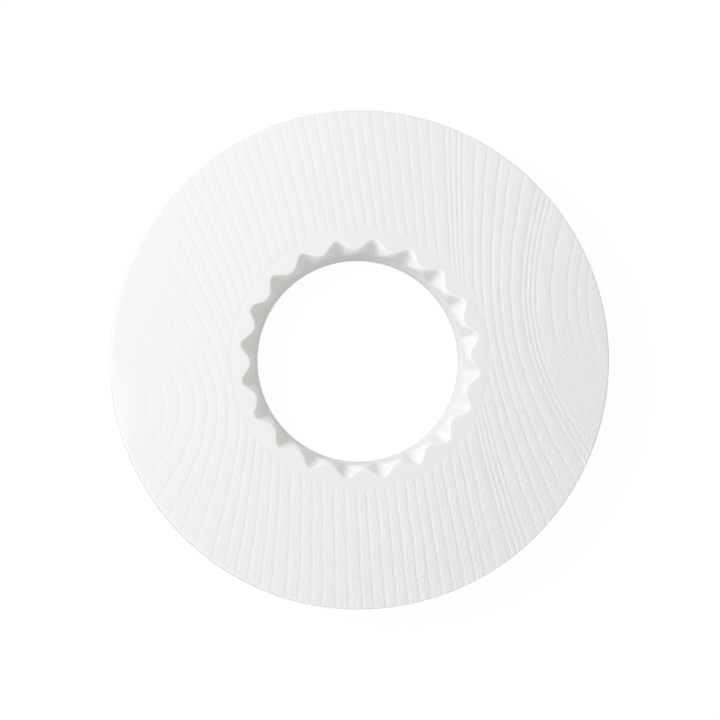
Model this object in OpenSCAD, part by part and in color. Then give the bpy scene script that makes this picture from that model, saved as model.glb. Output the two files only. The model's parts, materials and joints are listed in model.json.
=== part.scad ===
// Holder ring for a pleated cone dripper.
// A flat round plate lies across a mug's rim and carries a bush with a notched seat in its middle.
// Z points up, the plate's underside lies on Z = 0 and the Z axis runs through the spout bore.

/* [Plate] */
// Outside diameter of the plate
plate_d = 110; // [95:1:140]
// Thickness of the plate
plate_h = 10; // [9:0.5:16]
// Rounding of the plate's upper rim
rim_top_r = 0.6; // [0.2:0.1:2]
// Rounding of the plate's lower rim
rim_bottom_r = 1; // [0.2:0.1:2]
// Rounding of the plate's edge round the bush
well_edge_r = 0.1; // [0.05:0.05:0.6]
// Bevel of the plate's hole on the underside
hole_bevel = 0.6; // [0.2:0.1:1.5]

/* [Spout bore] */
// Diameter of the straight bore
bore_d = 44.6; // [36:0.2:54]
// Length of the straight bore
bore_h = 2; // [1:0.1:2.5]
// Radial flare of the throat from the bore to the foot of the notches
throat_flare = 0.95; // [0.5:0.05:2]

/* [Pleated seat] */
// Number of notches round the seat
notch_count = 20; // [16:1:24]
// Radial step from the throat to the sharp crests between the notches at the flange's face
crest_step = 0.45; // [0.3:0.05:1.2]
// Radial depth of the notches from their sharp crests to their sharp tips at the flange's face
notch_depth = 3.4; // [2.4:0.1:4.4]
// Height over which the notches run out into the throat
notch_h = 4.7; // [3.5:0.1:6]
// Rounding of the notches' tips
tip_round = 1.5; // [0.2:0.1:1.8]
// Rounding of the crests between the notches
crest_round = 2.6; // [0.4:0.1:3]
// Angle of the first notch from the X axis
first_notch = 11.2; // [0:0.2:17.8]

/* [Seat bush] */
// Width of the smooth collar outside the notches' sharp tips
collar_w = 1.4; // [0.8:0.1:4]
// Thickness of the bush's flange
flange_h = 4.7; // [3.7:0.1:6]
// Depth of the flange's face below the plate's face
flange_drop = 0.15; // [0.1:0.05:1]
// Wall of the bush's sleeve at the throat
sleeve_wall = 1.25; // [0.9:0.05:3]
// Height of the sleeve's end above the plate's underside
sleeve_lift = 0.4; // [0.1:0.1:1]
// Bevel on the bush's outer edges
bush_bevel = 0.1; // [0.05:0.05:0.4]

/* [Fit] */
// Radial clearance of the bush in the plate
bush_gap = 0.05; // [0.03:0.01:0.25]

/* [Hidden] */
$fn = 96;
// Segments to a full turn where the pleats are rounded
pleat_fn = 24;
// Overlap that carries a cut past the face that it opens
over = 1;
// Heights of the flange's face, of the ledge that carries it and of the throat
flange_z = plate_h - flange_drop;
ledge_z = flange_z - flange_h;
throat_z = flange_z - notch_h;
// Lower and upper end of the straight bore
bore_low_z = sleeve_lift + bush_bevel;
bore_top_z = bore_low_z + bore_h;
// Radii of the bush, from the bore outwards
bore_r = bore_d / 2;
throat_r = bore_r + throat_flare;
sleeve_r = throat_r + sleeve_wall;
crest_r = throat_r + crest_step;
tip_r = crest_r + notch_depth;
flange_r = tip_r + collar_w;
// Radii of the plate's two steps, which take the sleeve and the flange with clearance
hole_r = sleeve_r + bush_gap;
well_r = flange_r + bush_gap;
// Angle from a crest to the next notch, lean of a notch's flank and radius of its rounded tip
half_pitch = 180 / notch_count;
flank_lean = atan2(crest_r * sin(half_pitch), tip_r - crest_r * cos(half_pitch));
apex_r = tip_r - tip_round * (1 / sin(flank_lean) - 1);
// Growth of the pleated cone per millimetre of height, as a share of its size at the flange's face
cone_rate = (1 - throat_r / apex_r) / notch_h;

// What a corner at the origin loses when it is rounded, with the material to its upper right
module corner_waste(r) {
    difference() {
        translate([-over, -over]) square(r + over);
        translate([r, r]) circle(r);
    }
}

// What such a corner loses when it is bevelled
module bevel_waste(b) {
    polygon([[-over, -over], [b + over, -over], [-over, b + over]]);
}

// Half section of the plate, with the stepped hole that takes the bush
module plate_section() {
    difference() {
        translate([hole_r, 0]) square([plate_d / 2 - hole_r, plate_h]);
        translate([hole_r - over, ledge_z]) square([well_r - hole_r + over, plate_h]);
        translate([plate_d / 2, plate_h]) rotate(180) corner_waste(rim_top_r);
        translate([plate_d / 2, 0]) rotate(90) corner_waste(rim_bottom_r);
        translate([well_r, plate_h]) rotate(-90) corner_waste(well_edge_r);
        translate([hole_r, 0]) bevel_waste(hole_bevel);
    }
}

// Half section of the bush before its seat is notched
module bush_section() {
    polygon([
        [bore_r + bush_bevel, sleeve_lift],
        [sleeve_r - bush_bevel, sleeve_lift],
        [sleeve_r, sleeve_lift + bush_bevel],
        [sleeve_r, ledge_z],
        [flange_r - bush_bevel, ledge_z],
        [flange_r, ledge_z + bush_bevel],
        [flange_r, flange_z - bush_bevel],
        [flange_r - bush_bevel, flange_z],
        [throat_r, flange_z],
        [throat_r, throat_z],
        [bore_r, bore_top_z],
        [bore_r, bore_low_z]
    ]);
}

// Outline of the pleated cone at the flange's face
module pleat_outline() {
    $fn = pleat_fn;
    offset(r = -crest_round)
        offset(r = crest_round + tip_round)
            offset(r = -tip_round)
                polygon([
                    for (i = [0 : 2 * notch_count - 1])
                        let (r = i % 2 == 0 ? tip_r : crest_r, a = first_notch + i * half_pitch)
                            r * [cos(a), sin(a)]
                ]);
}

// The pleated cone whose lower end rests in the seat
module pleated_cone() {
    low = 1 - cone_rate * notch_h;
    high = 1 + cone_rate * over;
    translate([0, 0, throat_z])
        linear_extrude(height = notch_h + over, scale = high / low)
            scale(low) pleat_outline();
}

// Wooden plate with plain faces, softened rims and a stepped hole
module plate() {
    color([0.93, 0.93, 0.92]) rotate_extrude() plate_section();
}

// Drop-in bush: a flange with the pleated seat, and a sleeve with the spout bore
module seat_bush() {
    color([0.96, 0.96, 0.95])
        difference() {
            rotate_extrude() bush_section();
            pleated_cone();
        }
}

plate();
seat_bush();
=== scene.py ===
import json
import math

import bmesh
import bpy
import numpy as np
from mathutils import Matrix, Vector
from mathutils.geometry import delaunay_2d_cdt


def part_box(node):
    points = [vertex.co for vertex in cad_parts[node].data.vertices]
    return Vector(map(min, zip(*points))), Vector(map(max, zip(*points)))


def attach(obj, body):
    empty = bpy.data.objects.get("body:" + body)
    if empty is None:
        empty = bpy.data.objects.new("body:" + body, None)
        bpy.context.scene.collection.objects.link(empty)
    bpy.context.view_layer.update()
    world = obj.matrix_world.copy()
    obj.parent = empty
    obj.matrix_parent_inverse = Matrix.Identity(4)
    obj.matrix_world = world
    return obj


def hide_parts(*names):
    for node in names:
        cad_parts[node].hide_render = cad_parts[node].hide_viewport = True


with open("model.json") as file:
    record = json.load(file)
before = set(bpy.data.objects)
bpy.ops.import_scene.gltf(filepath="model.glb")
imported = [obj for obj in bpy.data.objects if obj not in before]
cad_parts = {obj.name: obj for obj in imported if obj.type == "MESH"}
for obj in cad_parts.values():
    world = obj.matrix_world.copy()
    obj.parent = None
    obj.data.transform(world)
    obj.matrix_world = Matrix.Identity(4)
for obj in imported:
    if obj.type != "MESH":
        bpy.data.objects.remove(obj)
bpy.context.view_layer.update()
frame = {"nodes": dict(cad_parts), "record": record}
mm = 0.001  # sizes below are in millimetres, Blender works in metres
nearZero = 1e-6  # keeps divisions off zero
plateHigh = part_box("plate")[1]
bushLow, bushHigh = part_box("seat_bush")
mounts = {mount["name"]: mount for mount in frame["record"]["mounts"]}
print("frame loaded:", ", ".join(sorted(frame["nodes"])))

# growth rings of the plate's wood: their lines bend round two knots, one beyond each side
grain = {
    "leftKnot": (-61.0, -7.5),
    "rightKnot": (76.2, 12.8),
    "gapSpread": 0.05,
    "sway": 0.08,  # how far all lines wander to either side
    "wander": 0.025,  # how far a single line wanders, as a share of its ring's gap
    "tremble": 0.015,  # how far it trembles
    "lineReach": 95.0,  # how far the lines are followed, up and down
    "leastCloseness": 0.15,  # keeps a division in bounds beyond the knots
    "searchRounds": 10,  # of the search for the ring that runs through a place
    "seed": 7,
}
growthBands = [  # first ring, from the middle between the knots, gap from ring to ring, and strength
    (-55.1, 3.4, 0.9), (-44.9, 2.35, 1.0), (-35.5, 1.71, 1.0), (-27.0, 2.08, 0.9), (-16.6, 2.3, 1.0),
    (-12.0, 2.0, 1.0), (14.6, 0.87, 1.0), (17.2, 1.8, 1.0), (24.4, 2.35, 1.0), (29.1, 1.03, 1.0),
    (32.2, 3.4, 0.9), (39.0, 2.3, 0.6), (46.0, 0.0, 0.0)]
# extra bends of the lines: how far, between which rings they grow, and how far along and round which place
knotBends = [
    {"bend": 9.1, "rings": (-22.0, -55.4), "reach": 17.3, "middle": -8.7},
    {"bend": -9.1, "rings": (10.7, 34.5), "reach": 29.2, "middle": 1.5},
]
swayWaves = [  # wave lengths across and along the rings, share of the sway
    (46.0, 38.0, 0.55), (27.0, 21.0, 0.28), (33.0, 11.0, 0.17)]
lineWaves = {  # waves along a single line: millimetres to a radian, share, which of the ring's phases
    "wander": [(1.9, 1.0, 0), (1.1, 0.6, 1)],
    "depth": [(3.1, 0.10, 2), (1.3, 0.06, 3)],
    "tremble": [(0.62, 1.0, 4), (0.41, 0.7, 5)],
}
groove = {
    "depth": 0.131,
    "evenDepth": 0.84,  # share of the depth that doesn't waver along a line
    "steepSide": 0.43,  # width of the wall towards the left knot
    "steepMost": 0.42,  # its most, as a share of the ring's gap
    "rampSide": (0.52, 0.74),  # width of the ramp on the other side
    "rampMost": 0.55,
    "strength": (0.82, 1.0),
    "fullGap": 1.3,  # rings closer than this have the columns of their mesh drawn together
    "fillWay": -22.0,  # the lacquer fills the grooves, but less and less this way
    "fillFrom": (-36.0, 48.0),
    "fillLeast": 0.44,  # share of the depth left open where it fills them most
    "closeWay": -10.0,  # towards the other end of this way it closes them altogether
    "closeFrom": (-56.0, -37.0),
    "quietRings": (31.4, 32.0),  # rings beyond these run out on their way down
    "quietFrom": (2.0, -14.0),
}
brushing = {
    "way": -45.0,  # the brushed texture grows this way
    "from": (-45.0, 45.0),
    "least": 0.095,
}
chance = np.random.default_rng(grain["seed"])
leftKnot = np.array(grain["leftKnot"])
rightKnot = np.array(grain["rightKnot"])
knotMiddle = (leftKnot + rightKnot) / 2
halfSpan = np.linalg.norm(rightKnot - leftKnot) / 2
acrossWay = (rightKnot - leftKnot) / (2 * halfSpan)
alongWay = np.array([-acrossWay[1], acrossWay[0]])


def ringPlaces():
    places, gaps, strengths = [], [], []
    for (start, gap, strength), (stop, _, _) in zip(growthBands, growthBands[1:]):
        for place in np.arange(start, stop - gap / 2, gap):
            places.append(place + gap * grain["gapSpread"] * chance.uniform(-1, 1))
            gaps.append(gap)
            strengths.append(strength * chance.uniform(*groove["strength"]))
    return np.array(places), np.array(gaps), np.array(strengths)


rings, ringGaps, ringStrength = ringPlaces()
ringEdges = (rings[1:] + rings[:-1]) / 2
ringSteep = np.minimum(groove["steepSide"], groove["steepMost"] * ringGaps)
ringRamp = np.minimum(chance.uniform(*groove["rampSide"], len(rings)), groove["rampMost"] * ringGaps)
phaseCount = sum(len(waves) for waves in lineWaves.values())
ringPhase = chance.uniform(0, 2 * math.pi, (phaseCount, len(rings)))
swayPhase = chance.uniform(0, 2 * math.pi, len(swayWaves))
print("growth rings placed:", len(rings))


def smoothStep(share):
    share = np.clip(share, 0, 1)
    return share * share * (3 - 2 * share)


def riseBetween(value, start, full):
    return smoothStep((value - start) / (full - start))


# how far the lines lie off their plain course round the knots
def driftAt(level, along):
    total = 0
    for (acrossWave, alongWave, share), phase in zip(swayWaves, swayPhase):
        total = total + share * np.sin(2 * math.pi * (level / acrossWave + along / alongWave) + phase)
    total = grain["sway"] * total
    for knot in knotBends:
        near = riseBetween(level, *knot["rings"])
        off = (along - knot["middle"]) / knot["reach"]
        total = total - knot["bend"] * near * (1 - np.exp(-off * off / 2))
    return total


# the ring, or place between two rings, that runs through a place on the face
def levelAt(across, along):
    level = across
    for _ in range(grain["searchRounds"]):
        level = (level + across - driftAt(level, along)) / 2
    return level


def waveAlong(name, ring, along, level=0):
    return sum((share * np.sin(along / length + ringPhase[phase, ring])
                for length, share, phase in lineWaves[name]), level)


def ringLine(ring, along):
    wander = grain["wander"] * ringGaps[ring] * waveAlong("wander", ring, along)
    tremble = grain["tremble"] * waveAlong("tremble", ring, along)
    return rings[ring] + driftAt(rings[ring], along) + wander + tremble


# place on the face -> place across the rings, place along them, and how close the rings lie there
def grainAt(points):
    fromLeft = points - leftKnot
    fromRight = points - rightKnot
    leftFar = np.maximum(np.linalg.norm(fromLeft, axis=-1), nearZero)
    rightFar = np.maximum(np.linalg.norm(fromRight, axis=-1), nearZero)
    across = (leftFar - rightFar) / 2
    side = np.sign((points - knotMiddle) @ alongWay)
    along = side * halfSpan * np.arccosh(np.maximum((leftFar + rightFar) / (2 * halfSpan), 1))
    slope = (fromLeft / leftFar[..., None] - fromRight / rightFar[..., None]) / 2
    return across, along, np.maximum(np.linalg.norm(slope, axis=-1), grain["leastCloseness"])


def grainPoint(across, along):
    bend = along / halfSpan
    out = across * np.cosh(bend)
    up = np.sqrt(np.maximum(halfSpan ** 2 - across ** 2, 0)) * np.sinh(bend)
    return knotMiddle + out[..., None] * acrossWay + up[..., None] * alongWay


def farAlong(points, degrees):
    way = math.radians(degrees)
    return points @ np.array([math.cos(way), math.sin(way)])


def openShare(points):
    far = farAlong(points, groove["fillWay"])
    share = groove["fillLeast"] + (1 - groove["fillLeast"]) * riseBetween(far, *groove["fillFrom"])
    return share * riseBetween(farAlong(points, groove["closeWay"]), *groove["closeFrom"])


def brushedShare(points):
    low, high = brushing["from"]
    share = np.clip((farAlong(points, brushing["way"]) - low) / (high - low), 0, 1)
    return brushing["least"] + (1 - brushing["least"]) * share ** 2


def grooveDepth(points):
    across, along, closeness = grainAt(points)
    ring = np.searchsorted(ringEdges, levelAt(across, along))
    offset = (across - ringLine(ring, along)) / closeness
    width = np.where(offset < 0, ringSteep[ring], ringRamp[ring])
    waver = waveAlong("depth", ring, along, groove["evenDepth"])
    share = smoothStep(1 - np.abs(offset) / width)
    quiet = riseBetween(rings[ring], *groove["quietRings"]) * riseBetween(along, *groove["quietFrom"])
    return groove["depth"] * ringStrength[ring] * waver * openShare(points) * share * (1 - quiet)


# how the bush sits in the plate
seat = {
    "room": 0.05,  # clearance round the flange
    "filled": 0.049,  # how much of it the flange fills, so that the seam hardly shows
    "raised": 0.15,  # how far the collar stands above the flange's plain face
    "ledge": 5.15,  # height of the ledge that carries the flange
}
plateSizes = {
    "radius": plateHigh.x / mm,
    "height": plateHigh.z / mm,
    "rimTop": 0.25,  # rounding of the upper rim
    "rimBottom": 1.0,
    "rimSteps": 4,  # rows round each of them
    "rimGrain": 0.35,  # share of the grooves' depth left on the turned rim
    "rimFade": 3,  # rows in which it comes down to that
    "wellRadius": bushHigh.x / mm + seat["room"],
    "wellEdge": 0.6,  # the face eases down to the bush over this width
    "wellDrop": 0.05,
    "wellRows": (0.2, 0.45, 0.7),  # rows on the way, as shares of that width
    "ledge": seat["ledge"],
    "holeRadius": 24.55,
    "holeBevel": 0.6,
    "underGrain": 0.7,  # share of the grooves' depth on the underside
    "rimColumns": 1800,
    "wellColumns": 1000,
    "topColumns": (-0.48, -0.38, -0.26, -0.13, 0.0, 0.16, 0.33, 0.52, 0.72),  # from a groove's line
    "topStep": 1.0,
    "underColumns": (-0.42, -0.22, 0.0, 0.28, 0.62),
    "underStep": 1.5,
    "keepOff": 0.14,  # the grooves' points stay this far off a face's two circles
    "weld": 1e-5,  # points closer than this become one
    "crease": 42,  # degrees, sharper edges aren't shaded smooth
}


# points along every groove, in columns from lip to lip, with plain columns between the grooves
def groovePoints(columns, step, innerRadius, outerRadius):
    reach = np.arange(-grain["lineReach"], grain["lineReach"], step)
    found = []
    for ring in range(len(rings)):
        line = ringLine(ring, reach)
        closeness = grainAt(grainPoint(line, reach))[2]
        for column in columns:
            shift = min(1, ringGaps[ring] / groove["fullGap"]) * column
            found.append(grainPoint(line + shift * closeness, reach))
    for edge in ringEdges:
        found.append(grainPoint(edge + driftAt(edge, reach), reach))
    found = np.concatenate(found)
    radius = np.linalg.norm(found, axis=1)
    keepOff = plateSizes["keepOff"]
    return found[(radius > innerRadius + keepOff) & (radius < outerRadius - keepOff)]


def circleOf(radius, count):
    angle = np.arange(count) * 2 * math.pi / count
    return radius * np.stack([np.cos(angle), np.sin(angle)], axis=1)


# one flat face of the plate between two circles, with vertices where the grooves need them
def faceSheet(innerRadius, outerRadius, columns, step):
    innerCount, outerCount = plateSizes["wellColumns"], plateSizes["rimColumns"]
    points = np.concatenate([
        circleOf(outerRadius, outerCount),
        circleOf(innerRadius, innerCount),
        groovePoints(columns, step, innerRadius, outerRadius)])
    rim = [(i, (i + 1) % outerCount) for i in range(outerCount)]
    hole = [(outerCount + i, outerCount + (i + 1) % innerCount) for i in range(innerCount)]
    spots, _, triangles, sources, _, _ = delaunay_2d_cdt(
        [Vector(point) for point in points], rim + hole, [], 0, plateSizes["weld"])
    place = {original: index for index, source in enumerate(sources) for original in source}
    rimLoop = [place[i] for i in range(outerCount)]
    holeLoop = [place[outerCount + i] for i in range(innerCount)]
    inHole = set(holeLoop)
    kept = [tuple(corners) for corners in triangles if not inHole.issuperset(corners)]
    return np.array(spots), kept, rimLoop, holeLoop


# outer rim, from the face down to the underside, as radii and heights
def rimProfile():
    radius, height = plateSizes["radius"], plateSizes["height"]
    rimTop, rimBottom = plateSizes["rimTop"], plateSizes["rimBottom"]
    steps = plateSizes["rimSteps"]
    path = []
    for step in range(1, steps + 1):
        lean = math.radians(90 * step / steps)
        path.append((radius - rimTop + rimTop * math.sin(lean), height - rimTop + rimTop * math.cos(lean)))
    path.append((radius, height / 2))
    for step in range(steps):
        lean = math.radians(90 * step / steps)
        far = radius - rimBottom + rimBottom * math.cos(lean)
        path.append((far, rimBottom - rimBottom * math.sin(lean)))
    return path


# stepped hole, from the underside up to the well's mouth
def holeProfile():
    size = plateSizes
    path = [(size["holeRadius"], size["holeBevel"]),
            (size["holeRadius"], size["ledge"]),
            (size["wellRadius"], size["ledge"]),
            (size["wellRadius"], size["height"] - size["wellDrop"])]
    for share in size["wellRows"]:
        drop = size["wellDrop"] * (1 - smoothStep(share))
        path.append((size["wellRadius"] + share * size["wellEdge"], size["height"] - drop))
    return path


# what the lacquer reads from the plate: its fibres, and how far it is brushed, dips into a groove or is rim
# (the rim gets painted shade)
def markGrain(mesh, spots):
    flat = spots[:, :2]
    across, along, _ = grainAt(flat)
    threads = np.column_stack([levelAt(across, along), along, spots[:, 2]])
    fibre = mesh.attributes.new("fibre", "FLOAT_VECTOR", "POINT")
    fibre.data.foreach_set("vector", threads.astype(np.float32).ravel())
    rimTop = plateSizes["rimTop"]
    pastFace = np.linalg.norm(flat, axis=1) - plateSizes["radius"] + rimTop
    marks = {
        "brushed": brushedShare(flat),
        "grooveDip": grooveDepth(flat) / groove["depth"],
        "onRim": np.clip(pastFace / rimTop, 0, 1),
    }
    for name, values in marks.items():
        mark = mesh.attributes.new(name, "FLOAT", "POINT")
        mark.data.foreach_set("value", values.astype(np.float32))


def finishMesh(mesh, crease):
    work = bmesh.new()
    work.from_mesh(mesh)
    bmesh.ops.recalc_face_normals(work, faces=work.faces)
    loose = sum(len(edge.link_faces) != 2 for edge in work.edges)
    print(mesh.name, "triangles", sum(len(face.verts) - 2 for face in work.faces), "open edges", loose)
    work.to_mesh(mesh)
    work.free()
    mesh.shade_smooth()
    mesh.set_sharp_from_angle(angle=math.radians(crease))
    piece = bpy.data.objects.new(mesh.name, mesh)
    bpy.context.scene.collection.objects.link(piece)
    return piece


def buildPlate():
    size = plateSizes
    height = size["height"]
    faceRadius = size["radius"] - size["rimTop"]
    wellMouth = size["wellRadius"] + size["wellEdge"]
    topSpots, faces, topRim, topWell = faceSheet(
        wellMouth, faceRadius, size["topColumns"], size["topStep"])
    underSpots, underFaces, underRim, underHole = faceSheet(
        size["holeRadius"] + size["holeBevel"], size["radius"] - size["rimBottom"],
        size["underColumns"], size["underStep"])
    spots = [np.column_stack([topSpots, height - grooveDepth(topSpots)]),
             np.column_stack([underSpots, size["underGrain"] * grooveDepth(underSpots)])]
    start = len(topSpots)
    faces += [tuple(start + corner for corner in reversed(corners)) for corners in underFaces]
    count = start + len(underSpots)

    def addRow(row):
        nonlocal count
        spots.append(row)
        count += len(row)
        return list(range(count - len(row), count))

    def joinRows(upper, lower):
        for i in range(len(upper)):
            j = (i + 1) % len(upper)
            faces.append((upper[i], lower[i], lower[j], upper[j]))

    around = circleOf(1, size["rimColumns"])
    edgeDepth = grooveDepth(around * faceRadius)
    above = topRim
    for index, (far, level) in enumerate(rimProfile()):
        fade = size["rimGrain"] + (1 - size["rimGrain"]) * max(0, 1 - (index + 1) / size["rimFade"])
        dip = edgeDepth * fade
        row = addRow(np.column_stack([around * (far - dip)[:, None], np.minimum(level, height - dip)]))
        joinRows(above, row)
        above = row
    joinRows(above, [start + i for i in underRim])

    around = circleOf(1, size["wellColumns"])
    mouthDepth = grooveDepth(around * wellMouth)
    below = [start + i for i in underHole]
    for far, level in holeProfile():
        dip = grooveDepth(around * far) if far > size["wellRadius"] else mouthDepth
        row = addRow(np.column_stack([around * far, np.minimum(level, height - dip)]))
        joinRows(below, row)
        below = row
    joinRows(below, topWell)

    spots = np.concatenate(spots)
    mesh = bpy.data.meshes.new("grainedPlate")
    mesh.from_pydata((spots * mm).tolist(), [], faces)
    mesh.update()
    markGrain(mesh, spots)
    return finishMesh(mesh, size["crease"])


bushSizes = {
    "flange": bushHigh.x / mm + seat["filled"],
    "top": bushHigh.z / mm + seat["raised"],
    "collarDrop": 0.05,  # the collar rounds off by this much towards its outer edge
    "collarFlat": 26.8,  # radius where it is level
    "collarRows": (0.12, 0.25, 0.4, 0.55, 0.8),  # shares of its width, from the outer edge
    "foot": bushLow.z / mm,
    "ledge": seat["ledge"],
    "sleeve": 24.5,
    "bore": mounts["spout_bore"]["dims"]["r_mm"],
    "boreTop": 2.5,
    "boreRow": 0.8,  # the plain bore is drawn from this far below its top
    "bevel": 0.1,
    "lip": 0.003,  # bevel of the collar's outer edge
    "throat": 23.25,
    "throatTop": 5.15,
    "notches": 20,
    "firstNotch": 11.2,  # degrees from the X axis
    "tip": 27.1,  # sharp corners of the pleats at the top face
    "crest": 23.7,
    "tipRound": 1.5,
    "crestRound": 2.6,
    "arcPoints": 8,  # along each rounding
    "flankPoints": 6,
    "edgeRound": 0.5,  # softened edge between the top face and the notches
    "edgeRows": 6,
    "blend": 0.14,  # how softly the pleats run into the throat
    "wallRows": 26,
    "wallEnd": 0.4,  # the notched wall is drawn to this far below the bore's top
    "crease": 34,
}


def arcOf(centre, radius, turns):
    return centre + radius * np.stack([np.cos(turns), np.sin(turns)], axis=1)


# half a pleat, from the middle of a notch to the middle of a crest, as angles and radii
def halfPleat():
    size = bushSizes
    step = math.pi / size["notches"]
    tip = np.array([size["tip"], 0.0])
    crestRay = np.array([math.cos(step), math.sin(step)])
    crest = size["crest"] * crestRay
    flank = (crest - tip) / np.linalg.norm(crest - tip)
    outward = np.array([flank[1], -flank[0]])
    tipLean = math.acos(-flank[0])  # between the flank and the way to the axis
    crestLean = math.acos(-flank @ crestRay)
    tipCentre = tip - np.array([size["tipRound"] / math.sin(tipLean), 0])
    crestCentre = crest + crestRay * size["crestRound"] / math.sin(crestLean)
    turn = math.atan2(outward[1], outward[0])
    shares = np.linspace(0, 1, size["arcPoints"])
    tipArc = arcOf(tipCentre, size["tipRound"], turn * shares)
    crestArc = arcOf(crestCentre, size["crestRound"], turn + math.pi + (step - turn) * shares)
    share = np.linspace(0, 1, size["flankPoints"])[1:-1, None]
    points = np.concatenate([tipArc, tipArc[-1] + share * (crestArc[0] - tipArc[-1]), crestArc])
    return np.arctan2(points[:, 1], points[:, 0]), np.linalg.norm(points, axis=1)


def softMost(first, second, blend):
    return second + blend * np.logaddexp(0, (first - second) / blend)


# the closed section of the bush, as rows of radius and height round its outline
def bushRows(mouth, deepest):
    size = bushSizes
    top, bevel, lip = size["top"], size["bevel"], size["lip"]
    rate = (1 - size["throat"] / deepest) / (top - size["throatTop"])
    lean = np.arctan(mouth * rate)  # of the pleats, from upright

    def level(far, high):
        return np.broadcast_to(far, len(mouth)), np.broadcast_to(high, len(mouth))

    rows = [level(size["sleeve"], size["ledge"]),
            level(size["flange"] - bevel, size["ledge"]),
            level(size["flange"], size["ledge"] + bevel),
            level(size["flange"], top - size["collarDrop"] - lip),
            level(size["flange"] - lip, top - size["collarDrop"])]
    edge = size["edgeRound"]
    back = edge * np.tan((math.pi / 2 - lean) / 2)  # how far outside the corner the rounding starts
    for share in size["collarRows"]:
        far = size["flange"] + share * (mouth + back - size["flange"])
        lower = np.maximum(far - size["collarFlat"], 0) / (size["flange"] - size["collarFlat"])
        rows.append((far, top - size["collarDrop"] * lower ** 2))
    for share in np.linspace(0, 1, size["edgeRows"]):
        turn = (math.pi / 2 - lean) * share
        rows.append((mouth + back - edge * np.sin(turn), top - edge + edge * np.cos(turn)))
    wallTop = rows[-1][1]
    for share in np.linspace(0, 1, size["wallRows"])[1:]:
        high = wallTop + share * (size["boreTop"] - size["wallEnd"] - wallTop)
        cone = (high - size["boreTop"]) / (size["throatTop"] - size["boreTop"])
        wall = size["bore"] + cone * (size["throat"] - size["bore"])
        wall = softMost(wall, size["bore"], size["blend"] / 2)
        wall = -softMost(-wall, -size["throat"], size["blend"] / 2)
        rows.append((softMost(mouth * (1 - rate * (top - high)), wall, size["blend"]), high))
    rows += [level(size["bore"], size["boreTop"] - size["boreRow"]),
             level(size["bore"], size["foot"] + bevel),
             level(size["bore"] + bevel, size["foot"]),
             level(size["sleeve"] - bevel, size["foot"]),
             level(size["sleeve"], size["foot"] + bevel)]
    return rows


def buildBush():
    size = bushSizes
    halfAngle, halfRadius = halfPleat()
    step = math.pi / size["notches"]
    angles = np.concatenate([halfAngle, 2 * step - halfAngle[-2:0:-1]])
    radii = np.concatenate([halfRadius, halfRadius[-2:0:-1]])
    turns = math.radians(size["firstNotch"]) + 2 * step * np.arange(size["notches"])
    angle = (turns[:, None] + angles[None]).ravel()
    rows = bushRows(np.tile(radii, size["notches"]), halfRadius[0])
    faces = []
    width = len(angle)
    spots = [np.column_stack([far * np.cos(angle), far * np.sin(angle), high]) for far, high in rows]
    for row in range(len(rows)):
        nextRow = (row + 1) % len(rows)
        for i in range(width):
            j = (i + 1) % width
            faces.append((row * width + i, row * width + j, nextRow * width + j, nextRow * width + i))
    mesh = bpy.data.meshes.new("pleatedBush")
    mesh.from_pydata((np.concatenate(spots) * mm).tolist(), [], faces)
    mesh.update()
    return finishMesh(mesh, size["crease"])


plate = buildPlate()
bush = buildBush()
print("pieces built")


def newMaterial(name):
    material = bpy.data.materials.new(name)
    material.use_nodes = True
    return material, material.node_tree, material.node_tree.nodes["Principled BSDF"]


# sets plain values on a new node's sockets and leaves the links to the caller
def addNode(tree, kind, sockets=None, **settings):
    node = tree.nodes.new(kind)
    for name, value in settings.items():
        setattr(node, name, value)
    for socket, value in (sockets or {}).items():
        node.inputs[socket].default_value = value
    return node


mixSockets = {"low": 6, "high": 7, "mixed": 2}  # the colours of a mix node


# a mix of two colours, each of them a plain value or the output of another node
def mixColours(tree, share, **colours):
    mix = addNode(tree, "ShaderNodeMix", data_type="RGBA")
    tree.links.new(share, mix.inputs["Factor"])
    for name, colour in colours.items():
        socket = mix.inputs[mixSockets[name]]
        if isinstance(colour, tuple):
            socket.default_value = colour
        else:
            tree.links.new(colour, socket)
    return mix.outputs[mixSockets["mixed"]]


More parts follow.
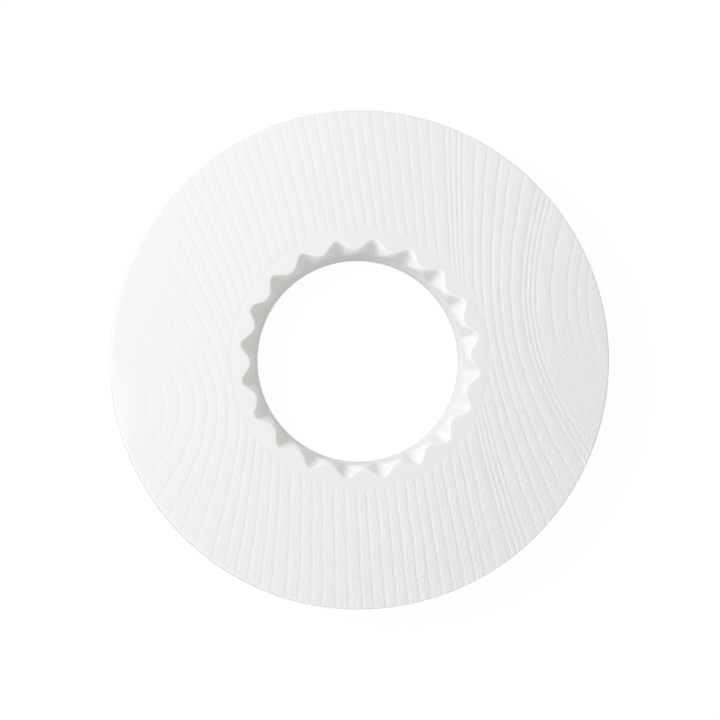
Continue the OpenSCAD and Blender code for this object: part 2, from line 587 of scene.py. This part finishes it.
def brushedLacquer():
    look = {
        "smooth": (0.861, 0.8632, 0.8675, 1),  # where the lacquer lies thick and even
        "light": (0.872, 0.872, 0.871, 1),
        "dark": (0.846, 0.845, 0.843, 1),
        "groove": (0.862, 0.861, 0.859, 1),
        "rim": (0.768, 0.767, 0.765, 1),  # painted shade: the turned rim and its outer wall are coloured darker to stand in for the shade there
        "streaks": (2.0, 0.2, 0.3),  # per millimetre across, along and up
        "streakNoise": {"Scale": 1.0, "Detail": 3.0, "Roughness": 0.6},
        "dashes": (2.4, 1.0, 1.0),
        "dashNoise": {"Scale": 1.0, "Detail": 2.0, "Roughness": 0.55},
        "pits": {"From Min": 0.3, "From Max": 0.6},  # what part of the dashes shows
        "pitShare": 0.55,  # weight of the pits beside the streaks
        "relief": 0.102 * mm,
        "gloss": {"To Min": 0.52, "To Max": 0.68},
        "shine": 0.3,
    }
    material, tree, shader = newMaterial("brushedLacquer")
    link = tree.links.new
    threads = addNode(tree, "ShaderNodeAttribute", attribute_name="fibre")
    brushed = addNode(tree, "ShaderNodeAttribute", attribute_name="brushed")
    onRim = addNode(tree, "ShaderNodeAttribute", attribute_name="onRim")
    dip = addNode(tree, "ShaderNodeAttribute", attribute_name="grooveDip")
    streakMap = addNode(tree, "ShaderNodeMapping", {"Scale": look["streaks"]})
    dashMap = addNode(tree, "ShaderNodeMapping", {"Scale": look["dashes"]})
    streaks = addNode(tree, "ShaderNodeTexNoise", look["streakNoise"])
    dashes = addNode(tree, "ShaderNodeTexNoise", look["dashNoise"])
    for mapping, noise in ((streakMap, streaks), (dashMap, dashes)):
        link(threads.outputs["Vector"], mapping.inputs["Vector"])
        link(mapping.outputs["Vector"], noise.inputs["Vector"])
    pits = addNode(tree, "ShaderNodeMapRange", look["pits"])
    link(dashes.outputs["Fac"], pits.inputs["Value"])
    height = addNode(tree, "ShaderNodeMath", {1: look["pitShare"]}, operation="MULTIPLY_ADD")
    link(pits.outputs["Result"], height.inputs[0])
    link(streaks.outputs["Fac"], height.inputs[2])
    bump = addNode(tree, "ShaderNodeBump", {"Distance": look["relief"]})
    link(brushed.outputs["Fac"], bump.inputs["Strength"])
    link(height.outputs["Value"], bump.inputs["Height"])
    link(bump.outputs["Normal"], shader.inputs["Normal"])
    tint = mixColours(tree, pits.outputs["Result"], low=look["dark"], high=look["light"])
    coat = mixColours(tree, brushed.outputs["Fac"], low=look["smooth"], high=tint)
    lined = mixColours(tree, dip.outputs["Fac"], low=coat, high=look["groove"])
    # painted shade: the rim and outer wall are mixed towards a darker colour
    rimShaded = mixColours(tree, onRim.outputs["Fac"], low=lined, high=look["rim"])
    link(rimShaded, shader.inputs["Base Color"])
    gloss = addNode(tree, "ShaderNodeMapRange", look["gloss"])
    link(streaks.outputs["Fac"], gloss.inputs["Value"])
    link(gloss.outputs["Result"], shader.inputs["Roughness"])
    shader.inputs["Specular IOR Level"].default_value = look["shine"]
    return material


def mouldedResin():
    look = {
        "light": (0.868, 0.870, 0.871, 1),
        "dark": (0.848, 0.849, 0.849, 1),
        "mottle": {"Scale": 140.0, "Detail": 2.0},  # per metre
        "finish": {"Scale": 2200.0, "Detail": 2.0},
        "relief": {"Strength": 0.4, "Distance": 0.02 * mm},
        "gloss": {"To Min": 0.46, "To Max": 0.6},
        "shine": 0.3,
    }
    material, tree, shader = newMaterial("mouldedResin")
    link = tree.links.new
    where = addNode(tree, "ShaderNodeTexCoord")
    fine = addNode(tree, "ShaderNodeTexNoise", look["finish"])
    broad = addNode(tree, "ShaderNodeTexNoise", look["mottle"])
    link(where.outputs["Object"], fine.inputs["Vector"])
    link(where.outputs["Object"], broad.inputs["Vector"])
    bump = addNode(tree, "ShaderNodeBump", look["relief"])
    link(fine.outputs["Fac"], bump.inputs["Height"])
    link(bump.outputs["Normal"], shader.inputs["Normal"])
    tint = mixColours(tree, broad.outputs["Fac"], low=look["dark"], high=look["light"])
    link(tint, shader.inputs["Base Color"])
    gloss = addNode(tree, "ShaderNodeMapRange", look["gloss"])
    link(broad.outputs["Fac"], gloss.inputs["Value"])
    link(gloss.outputs["Result"], shader.inputs["Roughness"])
    shader.inputs["Specular IOR Level"].default_value = look["shine"]
    return material


plate.data.materials.append(brushedLacquer())
bush.data.materials.append(mouldedResin())
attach(plate, "plate")
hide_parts("plate")
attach(bush, "seat_bush")
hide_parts("seat_bush")
print("finishes set")

coolTint = (0.985, 0.996, 1.042)
warmTint = (1.015, 1.001, 0.962)
studio = {
    "key": {"turn": 158.0, "lift": 41.0, "far": 440.0, "across": 234.0, "power": 1.045, "tint": coolTint},
    # so low that it hardly lights more than the rim's wall
    "low": {"turn": 252.0, "lift": 1.3, "far": 600.0, "across": 24.0, "power": 1.0, "tint": warmTint},
    "skyLevel": 0.619,
    "horizonLevel": 1.3,  # white walls all round, low down
    "horizonLift": 10.0,
    "horizonFade": (0.6, 1.4),  # the walls fade into the sky between these shares of that lift
    "brightSide": 0.025,  # how much brighter the key's side of the room is
    "floorSide": 6000.0,
    "floorDrop": 0.05,  # keeps the floor off the plate's own underside
    "floorTone": 0.44,
    "floorRoughness": 0.9,
    "floorShadow": 0.2,  # share of the floor's own shading that the camera sees
    "floorGlow": 1.17,
}


def softLamp(name):
    lamp = studio[name]
    light = bpy.data.lights.new(name, "AREA")
    light.shape = "DISK"
    light.size = lamp["across"] * mm
    light.energy = lamp["power"]
    light.color = lamp["tint"]
    holder = bpy.data.objects.new(name, light)
    turn, lift = math.radians(lamp["turn"]), math.radians(lamp["lift"])
    away = Vector((math.cos(turn) * math.cos(lift), math.sin(turn) * math.cos(lift), math.sin(lift)))
    holder.location = away * lamp["far"] * mm
    holder.rotation_euler = away.to_track_quat("Z", "Y").to_euler()
    bpy.context.scene.collection.objects.link(holder)


def whiteFloor():
    half = studio["floorSide"] * mm / 2
    low = -studio["floorDrop"] * mm
    corners = [(-half, -half, low), (half, -half, low), (half, half, low), (-half, half, low)]
    mesh = bpy.data.meshes.new("floor")
    mesh.from_pydata(corners, [], [(0, 1, 2, 3)])
    floor = bpy.data.objects.new("floor", mesh)
    bpy.context.scene.collection.objects.link(floor)
    material, tree, shader = newMaterial("whiteFloor")
    link = tree.links.new
    shader.inputs["Base Color"].default_value = (studio["floorTone"],) * 3 + (1,)
    shader.inputs["Roughness"].default_value = studio["floorRoughness"]
    shader.inputs["Specular IOR Level"].default_value = 0.0
    glow = addNode(tree, "ShaderNodeEmission", {"Strength": studio["floorGlow"]})
    path = addNode(tree, "ShaderNodeLightPath")
    seen = addNode(tree, "ShaderNodeMath", operation="MAXIMUM")
    seenToo = addNode(tree, "ShaderNodeMath", operation="MAXIMUM")
    share = addNode(tree, "ShaderNodeMath", {1: 1 - studio["floorShadow"]}, operation="MULTIPLY")
    link(path.outputs["Is Camera Ray"], seen.inputs[0])
    link(path.outputs["Is Glossy Ray"], seen.inputs[1])
    link(seen.outputs["Value"], seenToo.inputs[0])
    link(path.outputs["Is Transmission Ray"], seenToo.inputs[1])
    link(seenToo.outputs["Value"], share.inputs[0])
    blend = addNode(tree, "ShaderNodeMixShader")
    link(share.outputs["Value"], blend.inputs["Fac"])
    link(shader.outputs["BSDF"], blend.inputs[1])
    link(glow.outputs["Emission"], blend.inputs[2])
    link(blend.outputs["Shader"], tree.nodes["Material Output"].inputs["Surface"])
    mesh.materials.append(material)


def softSky():
    world = bpy.data.worlds.new("softSky")
    bpy.context.scene.world = world
    world.use_nodes = True
    tree = world.node_tree
    link = tree.links.new
    sky = tree.nodes["Background"]
    sky.inputs["Color"].default_value = (*warmTint, 1)
    where = addNode(tree, "ShaderNodeTexCoord")
    parts = addNode(tree, "ShaderNodeSeparateXYZ")
    link(where.outputs["Generated"], parts.inputs["Vector"])
    lift = math.sin(math.radians(studio["horizonLift"]))
    wallTop, skyFoot = studio["horizonFade"]
    level = addNode(tree, "ShaderNodeMapRange", {
        "From Min": wallTop * lift, "From Max": skyFoot * lift,
        "To Min": studio["horizonLevel"], "To Max": studio["skyLevel"]})
    link(parts.outputs["Z"], level.inputs["Value"])
    turn = math.radians(studio["key"]["turn"])
    keyWay = (math.cos(turn), math.sin(turn), 0)
    towards = addNode(tree, "ShaderNodeVectorMath", {1: keyWay}, operation="DOT_PRODUCT")
    link(where.outputs["Generated"], towards.inputs[0])
    share = addNode(tree, "ShaderNodeMath", {1: studio["brightSide"], 2: 1.0}, operation="MULTIPLY_ADD")
    link(towards.outputs["Value"], share.inputs[0])
    lit = addNode(tree, "ShaderNodeMath", operation="MULTIPLY")
    link(share.outputs["Value"], lit.inputs[0])
    link(level.outputs["Result"], lit.inputs[1])
    link(lit.outputs["Value"], sky.inputs["Strength"])
    white = addNode(tree, "ShaderNodeBackground", {"Color": (1, 1, 1, 1), "Strength": 1.0})
    path = addNode(tree, "ShaderNodeLightPath")
    blend = addNode(tree, "ShaderNodeMixShader")
    link(path.outputs["Is Camera Ray"], blend.inputs["Fac"])
    link(sky.outputs["Background"], blend.inputs[1])
    link(white.outputs["Background"], blend.inputs[2])
    link(blend.outputs["Shader"], tree.nodes["World Output"].inputs["Surface"])


softLamp("key")
softLamp("low")
whiteFloor()
softSky()
print("light set")

shot = {
    "far": 1300.0,
    "tilt": 5.0,  # degrees from straight above
    "turn": 222.5,  # side that the camera leans to, degrees round from the X axis
    "frameWidth": 158.5,  # width of the picture at the plate's upper face
    "aim": (-0.09, -0.245),
    "sensor": 36.0,
    "reach": 100.0,  # how far the camera sees, in metres
}


def placeCamera():
    lens = bpy.data.cameras.new("camera")
    lens.sensor_width = shot["sensor"]
    lens.lens = shot["sensor"] * shot["far"] / shot["frameWidth"]
    lens.clip_end = shot["reach"]
    holder = bpy.data.objects.new("camera", lens)
    tilt, turn = math.radians(shot["tilt"]), math.radians(shot["turn"])
    back = Vector((math.sin(tilt) * math.cos(turn), math.sin(tilt) * math.sin(turn), math.cos(tilt)))
    right = Vector((0, 1, 0)).cross(back).normalized()
    up = back.cross(right)
    aim = Vector((*shot["aim"], plateSizes["height"])) * mm
    place = Matrix((right, up, back)).transposed().to_4x4()
    place.translation = aim + back * shot["far"] * mm
    holder.matrix_world = place
    bpy.context.scene.collection.objects.link(holder)
    bpy.context.scene.camera = holder


placeCamera()
bpy.context.scene.view_settings.view_transform = "Standard"
print("camera set")
